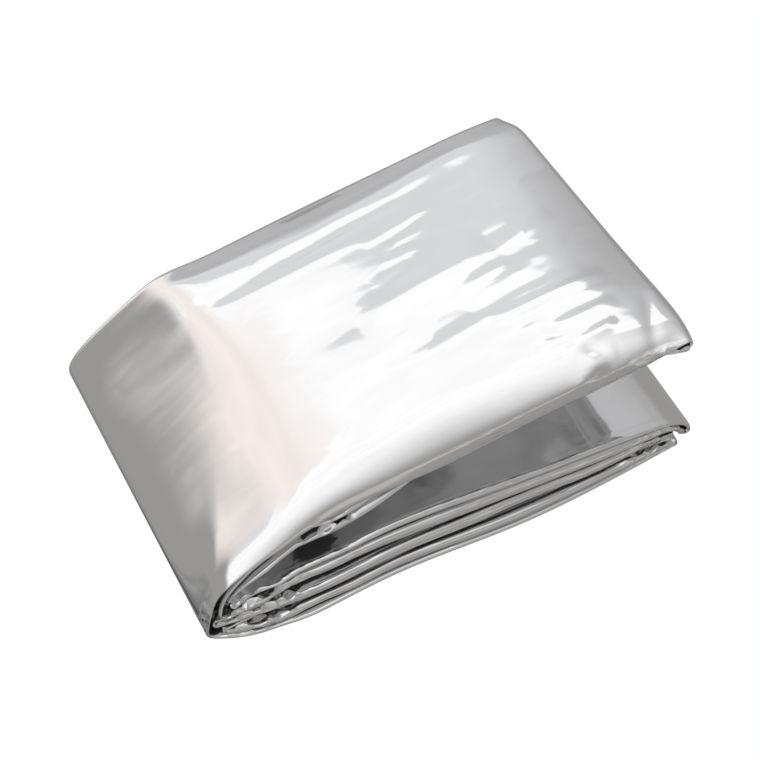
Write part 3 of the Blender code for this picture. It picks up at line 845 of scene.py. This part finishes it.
# The plies' lines set in between these: from the front edge inwards, up in each leaf, and along X.
LAYER_FADES = {"edge": (3.5, 0.5), "lower": (18.0, 14.0), "upper": (20.0, 26.0), "right": (-25.0, 10.0)}
FACET = 3.2  # crumpled film
FACET_STRENGTH = 0.9
PANE = (14.3, 5.3)  # the flat panes between fine creases
PANE_SOFTNESS = 0.12
PANE_TURN = 0.018  # how far a pane's face may be turned, corner to corner, in radians
FILM_METALLIC = 0.94  # of the aluminium's 1, because clear film lies over it
BUMP_DEPTH = 0.5 * MM
FACET_DEPTH = 1.6 * MM
NOISE_FROM, NOISE_TO = 0.35, 0.65  # values between which nearly all of a noise lies


def linear(code):
    """An sRGB colour written as #rrggbb, in linear light."""
    made = []
    for i in (1, 3, 5):
        part = int(code[i:i + 2], 16) / 255
        made.append(part / 12.92 if part <= 0.04045 else ((part + 0.055) / 1.055) ** 2.4)
    return (*made, 1.0)


def per_metre(*sizes):
    """The scale of a pattern whose repeats are these sizes."""
    return tuple(1.0 / (size * MM) for size in sizes)


def add_node(tree, kind, inputs=None, **settings):
    """A node with its settings and links; an input may be a constant, a socket or a node's first output."""
    node = tree.nodes.new("ShaderNode" + kind)
    for name, value in settings.items():
        setattr(node, name, value)
    for name, value in (inputs or {}).items():
        if isinstance(value, bpy.types.Node):
            value = value.outputs[0]
        if isinstance(value, bpy.types.NodeSocket):
            tree.links.new(value, node.inputs[name])
        else:
            node.inputs[name].default_value = value
    return node


def near_crumples(tree, place):
    """1 where the film is crumpled, 0 away from there."""
    nearest = 0.0
    start, end = CRUMPLE_FADE
    for crumple in named(CRUMPLE_COLUMNS, CRUMPLES):
        centre = ((crumple["x"] - CENTRE_X) * MM, (crumple["y"] - CENTRE_Y) * MM, crumple["z"] * MM)
        reach = (crumple["long"] * MM, crumple["wide"] * MM, crumple["high"] * MM)
        way = add_node(tree, "VectorMath", {0: place, 1: centre}, operation="SUBTRACT")
        way = add_node(tree, "VectorMath", {0: way, 1: reach}, operation="DIVIDE")
        far = add_node(tree, "VectorMath", {0: way}, operation="LENGTH").outputs["Value"]
        near = add_node(tree, "MapRange", {"Value": far, "From Min": start, "From Max": end},
                        interpolation_type="SMOOTHSTEP")
        nearest = add_node(tree, "Math", {0: nearest, 1: near}, operation="MAXIMUM")
    return nearest


def patchy(tree, place, scale, low, high):
    """A value that goes softly from low to high in patches."""
    patches = add_node(tree, "TexNoise", {"Vector": place, "Scale": scale, "Detail": 2.0})
    return add_node(tree, "MapRange", {"Value": patches, "From Min": NOISE_FROM, "From Max": NOISE_TO,
                                       "To Min": low, "To Max": high})


def rippled(tree, film):
    """The normal of slack film."""
    place = add_node(tree, "Mapping", {"Vector": film, "Scale": (*per_metre(*RIPPLE), 1.0)})
    ripple = add_node(tree, "TexNoise", {"Vector": place, "Scale": 1.0, "Detail": 1.0, "Roughness": 0.5})
    return add_node(tree, "Bump", {"Height": ripple, "Strength": RIPPLE_STRENGTH, "Distance": BUMP_DEPTH})


def layered(tree, film, place, normal):
    """The plies in the strip: lines along the lower leaf's front edges and the right of the upper's."""
    across = add_node(tree, "SeparateXYZ", {"Vector": film}).outputs["Y"]
    part = add_node(tree, "SeparateXYZ", {"Vector": place}).outputs
    drawn = add_node(tree, "Mapping", {"Vector": place, "Scale": per_metre(*LAYER)})
    lines = add_node(tree, "TexNoise", {"Vector": drawn, "Scale": 1.0, "Detail": 2.0, "Roughness": 0.6})
    share = {}
    for name, value in (("edge", across), ("lower", part["Z"]), ("upper", part["Z"]), ("right", part["X"])):
        start, end = LAYER_FADES[name]
        span = {"Value": value, "From Min": start * MM, "From Max": end * MM}
        share[name] = add_node(tree, "MapRange", span, interpolation_type="SMOOTHSTEP")
    where = add_node(tree, "Math", {0: share["right"], 1: share["upper"], 2: share["lower"]},
                     operation="MULTIPLY_ADD")
    height = add_node(tree, "Math", {0: lines, 1: share["edge"]}, operation="MULTIPLY")
    height = add_node(tree, "Math", {0: height, 1: where}, operation="MULTIPLY")
    return add_node(tree, "Bump", {"Height": height, "Normal": normal, "Strength": LAYER_STRENGTH,
                                   "Distance": BUMP_DEPTH})


def crumpled(tree, place, normal):
    """Small facets where the corners are crumpled."""
    facets = add_node(tree, "TexVoronoi", {"Vector": place, "Scale": per_metre(FACET)[0]}, feature="F1")
    height = add_node(tree, "Math", {0: facets, 1: near_crumples(tree, place)}, operation="MULTIPLY")
    return add_node(tree, "Bump", {"Height": height, "Normal": normal, "Strength": FACET_STRENGTH,
                                   "Distance": FACET_DEPTH})


def creased(tree, film, normal):
    """The film is creased into long flat panes, each of them turned a little."""
    place = add_node(tree, "Mapping", {"Vector": film, "Scale": (*per_metre(*PANE), 1.0)})
    panes = add_node(tree, "TexVoronoi", {"Vector": place, "Scale": 1.0, "Smoothness": PANE_SOFTNESS},
                     feature="SMOOTH_F1").outputs["Color"]
    turn = add_node(tree, "VectorMath", {0: panes, 1: (0.5, 0.5, 0.5)}, operation="SUBTRACT")
    turn = add_node(tree, "VectorMath", {0: turn, "Scale": PANE_TURN}, operation="SCALE")
    return add_node(tree, "VectorMath", {0: normal, 1: turn}, operation="ADD")


def film_material(settings):
    """Aluminised polyester film.

    The real one is clear film, 12 micrometres thick, with aluminium vapour on it. To the eye it is a
    bright neutral mirror that is only a little soft, and all its greys are what stands round it.
    """
    material = bpy.data.materials.new("aluminised polyester film")
    material.use_nodes = True
    tree = material.node_tree
    shader = tree.nodes["Principled BSDF"]
    shader.inputs["Base Color"].default_value = settings.colour
    shader.inputs["Metallic"].default_value = FILM_METALLIC
    shader.inputs["Roughness"].default_value = settings.roughness
    film = add_node(tree, "UVMap", uv_map="film")
    place = add_node(tree, "TexCoord").outputs["Object"]
    normal = layered(tree, film, place, rippled(tree, film))
    normal = creased(tree, film, crumpled(tree, place, normal))
    tree.links.new(normal.outputs["Vector"], shader.inputs["Normal"])
    return material


def empty_material(name):
    """A material without nodes, and its node tree."""
    material = bpy.data.materials.new(name)
    material.use_nodes = True
    material.node_tree.nodes.clear()
    return material, material.node_tree


# ---- The stage: floor, softboxes, camera -----------------------

# Glowing cards round the packet. corners: places in metres, from the front left round to the back left.
# fades: width of the soft rim at the left, right, front and back, as a share of the card.
CARD_COLUMNS = ("name", "corners", "strength", "fades", "colour")
CARDS = (
    ("softbox", ((-1.77, 0.25, 1.5), (0.70, 0.45, 1.5), (0.70, 1.23, 1.5), (-1.13, 2.22, 1.5)),
     1.34, (0.06, 0.03, 0.10, 0.03), "#FFFFFF"),
    ("front_fall", ((-3.20, -1.60, 1.7), (1.10, -1.60, 1.7), (0.85, 1.00, 1.7), (-2.20, 1.40, 1.7)),
     1.30, (0.15, 0.22, 0.75, 0.10), "#FFFFFF"),
    ("halo", ((-3.10, 0.40, 1.9), (1.40, 0.40, 1.9), (1.40, 2.57, 1.9), (-2.30, 4.20, 1.9)),
     0.93, (0.22, 0.25, 0.15, 0.22), "#FDFEFF"),
    ("left_glow", ((-1.70, 1.42, -0.25), (-0.32, 2.15, -0.25), (-0.04, 1.08, 2.0), (-1.03, 0.42, 2.0)),
     1.20, (0.42, 0.28, 0.28, 0.28), "#FFF8F3"),
    ("front_low", ((-3.00, -2.60, 0.35), (2.40, -2.60, 0.35), (2.40, -2.30, 2.40), (-3.00, -2.30, 2.40)),
     0.62, (0.15, 0.15, 0.45, 0.35), "#FFFAF4"),
    ("ceiling", ((-1.40, -1.00, 2.4), (3.20, -1.00, 2.4), (3.60, 9.60, 2.4), (-1.40, 9.60, 2.4)),
     0.60, (0.15, 0.45, 0.10, 0.10), "#FEFEFF"),
)
SURROUND = "#A7A6A4"  # the room's glow
CARD_PATCHES = 7.0  # how many dimmer patches a card has across
CARD_DIMMEST = 0.94  # the glow in those, as a share of the card's own
TABLE_DARK, TABLE_LIGHT = 0.06, 0.46
TABLE_PATCHES = 5.0  # how many light and dark patches the table has round the packet
TABLE_FROM, TABLE_TO = -0.35, -0.75  # heights of a direction between which the room gives way to the table
CARD_SEGMENTS = 8
FLOOR_REACH = 3.0  # from the packet to the floor's sides, in metres
SENSOR = 36.0  # width of the camera's sensor in millimetres
CLIP_START = 0.01


def soft_rim(tree, place, fades):
    """1 over most of a card, falling to 0 at its rim."""
    left, right, front, back = fades
    part = add_node(tree, "SeparateXYZ", {"Vector": place}).outputs
    rim = 1.0
    for axis, rim_at, full_at in (("X", 0.0, left), ("X", 1.0, 1.0 - right),
                                  ("Y", 0.0, front), ("Y", 1.0, 1.0 - back)):
        side = add_node(tree, "MapRange", {"Value": part[axis], "From Min": rim_at, "From Max": full_at},
                        interpolation_type="SMOOTHSTEP")
        rim = add_node(tree, "Math", {0: rim, 1: side}, operation="MULTIPLY")
    return rim


def card_material(card):
    """Lit diffusion cloth: an even glow, a little patchy, and clear at its rim, where the room shows."""
    material, tree = empty_material("lit diffusion cloth")
    place = add_node(tree, "UVMap", uv_map="card")
    strength = patchy(tree, place, CARD_PATCHES, card["strength"] * CARD_DIMMEST, card["strength"])
    glow = add_node(tree, "Emission", {"Strength": strength, "Color": linear(card["colour"])})
    clear = add_node(tree, "BsdfTransparent")
    mix = add_node(tree, "MixShader", {0: soft_rim(tree, place, card["fades"]), 1: clear, 2: glow})
    add_node(tree, "OutputMaterial", {"Surface": mix})
    return material


def place_card(card):
    """A glowing card near the packet, which only the film sees."""
    shape = bmesh.new()
    bmesh.ops.create_grid(shape, x_segments=CARD_SEGMENTS, y_segments=CARD_SEGMENTS, size=0.5)
    uv = shape.loops.layers.uv.new("card")
    for face in shape.faces:
        for loop in face.loops:
            loop[uv].uv = (loop.vert.co.x + 0.5, loop.vert.co.y + 0.5)
    front_left, front_right, back_right, back_left = (Vector(corner) for corner in card["corners"])
    for vert in shape.verts:
        across, back = vert.co.x + 0.5, vert.co.y + 0.5
        vert.co = front_left.lerp(front_right, across).lerp(back_left.lerp(back_right, across), back)
    made = made_object(card["name"], shape)
    made.data.materials.append(card_material(card))
    made.visible_camera = False


def floor_plane():
    """A white sweep, which only the camera sees."""
    shape = bmesh.new()
    bmesh.ops.create_grid(shape, x_segments=1, y_segments=1, size=FLOOR_REACH)
    floor = made_object("floor", shape)
    material, tree = empty_material("white sweep")
    glow = add_node(tree, "Emission", {"Color": linear("#FFFFFF"), "Strength": 1.0})
    add_node(tree, "OutputMaterial", {"Surface": glow})
    floor.data.materials.append(material)
    floor.visible_glossy = False
    floor.visible_diffuse = False


def surround():
    """The grey room that the film mirrors, and below it a patchy table."""
    world = bpy.data.worlds.new("surround")
    world.use_nodes = True
    tree = world.node_tree
    way = add_node(tree, "TexCoord").outputs["Generated"]
    height = add_node(tree, "SeparateXYZ", {"Vector": way}).outputs["Z"]
    table = patchy(tree, way, TABLE_PATCHES, TABLE_DARK, TABLE_LIGHT)
    below = add_node(tree, "MapRange", {"Value": height, "From Min": TABLE_FROM, "From Max": TABLE_TO},
                     interpolation_type="SMOOTHSTEP")
    glow = add_node(tree, "MixRGB", {"Fac": below, "Color1": linear(SURROUND), "Color2": table})
    tree.links.new(glow.outputs["Color"], tree.nodes["Background"].inputs["Color"])
    bpy.context.scene.world = world


def camera(settings):
    """A camera that looks at the packet from the front left, high up."""
    around, above = settings.around, settings.above
    level = math.cos(above)
    back = Vector((math.sin(around) * level, -math.cos(around) * level, math.sin(above)))
    right = Vector((math.cos(around), math.sin(around), 0.0))
    up = back.cross(right)
    data = bpy.data.cameras.new("camera")
    data.lens = settings.lens
    data.sensor_width = SENSOR
    data.clip_start = CLIP_START
    made = bpy.data.objects.new("camera", data)
    turned = Matrix((right, up, back)).transposed().to_4x4()
    made.matrix_world = Matrix.Translation(Vector(LOOK_AT) + back * settings.distance) @ turned
    bpy.context.scene.collection.objects.link(made)
    bpy.context.scene.camera = made


# ---- The add-on ------------------------------------------------


class FoilSheetSettings(bpy.types.PropertyGroup):
    """The packet's film."""

    colour: bpy.props.FloatVectorProperty(
        name="Colour", description="Colour of the film's mirror", subtype="COLOR", size=4,
        min=0.0, max=1.0, default=linear("#E3E3E4"))
    roughness: bpy.props.FloatProperty(
        name="Roughness", description="Softness of the film's mirror", subtype="FACTOR", default=0.06,
        min=0.0, max=1.0)


class FoilStageSettings(bpy.types.PropertyGroup):
    """Where the packet is seen from."""

    around: bpy.props.FloatProperty(
        name="Around", description="Angle of the view round the packet, from its front side",
        default=math.radians(-26.5), unit="ROTATION")
    above: bpy.props.FloatProperty(
        name="Above", description="Angle of the view above the surface", default=math.radians(52.4),
        unit="ROTATION")
    distance: bpy.props.FloatProperty(
        name="Distance", description="From the packet to the camera", default=0.549, unit="LENGTH")
    lens: bpy.props.FloatProperty(
        name="Lens", description="Focal length in millimetres, on a 36 mm sensor", default=104.97,
        unit="CAMERA")


class FOIL_OT_fold_sheet(bpy.types.Operator):
    """Fold the strip of film into the packet"""

    bl_idname = "foil.fold_sheet"
    bl_label = "Fold the film"

    def execute(self, context):
        """Make the sheet, hang it on the packet's body and hide the part of the solid that it takes the
        place of.
        """
        sheet = folded_sheet("foil_blanket_sheet")
        sheet.data.materials.append(film_material(context.scene.foil_sheet))
        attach(sheet, BODY)
        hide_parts(NODE)
        return {"FINISHED"}


class FOIL_OT_set_stage(bpy.types.Operator):
    """Put up the floor, the softboxes, the surround and the camera"""

    bl_idname = "foil.set_stage"
    bl_label = "Set the stage"

    def execute(self, context):
        """Make all that stands round the packet."""
        floor_plane()
        for card in named(CARD_COLUMNS, CARDS):
            place_card(card)
        surround()
        camera(context.scene.foil_stage)
        context.scene.view_settings.view_transform = "Standard"
        return {"FINISHED"}


class FOIL_PT_panel(bpy.types.Panel):
    """Buttons for the packet and its stage"""

    bl_idname = "FOIL_PT_panel"
    bl_label = "Foil blanket"
    bl_space_type = "VIEW_3D"
    bl_region_type = "UI"
    bl_category = "Foil blanket"

    def draw(self, context):
        """List the settings and the operators."""
        for name in ("foil_sheet", "foil_stage"):
            settings = getattr(context.scene, name)
            for field in settings.__annotations__:
                self.layout.prop(settings, field)
        self.layout.operator("foil.fold_sheet")
        self.layout.operator("foil.set_stage")


CLASSES = (FoilSheetSettings, FoilStageSettings, FOIL_OT_fold_sheet, FOIL_OT_set_stage, FOIL_PT_panel)


def register():
    """Make the add-on's classes and settings known."""
    for made in CLASSES:
        bpy.utils.register_class(made)
    bpy.types.Scene.foil_sheet = bpy.props.PointerProperty(type=FoilSheetSettings)
    bpy.types.Scene.foil_stage = bpy.props.PointerProperty(type=FoilStageSettings)


def unregister():
    """Take them away again."""
    del bpy.types.Scene.foil_stage
    del bpy.types.Scene.foil_sheet
    for made in reversed(CLASSES):
        bpy.utils.unregister_class(made)


def main():
    """Build the packet and its stage."""
    register()
    bpy.ops.foil.fold_sheet()
    bpy.ops.foil.set_stage()


if __name__ == "__main__":
    main()
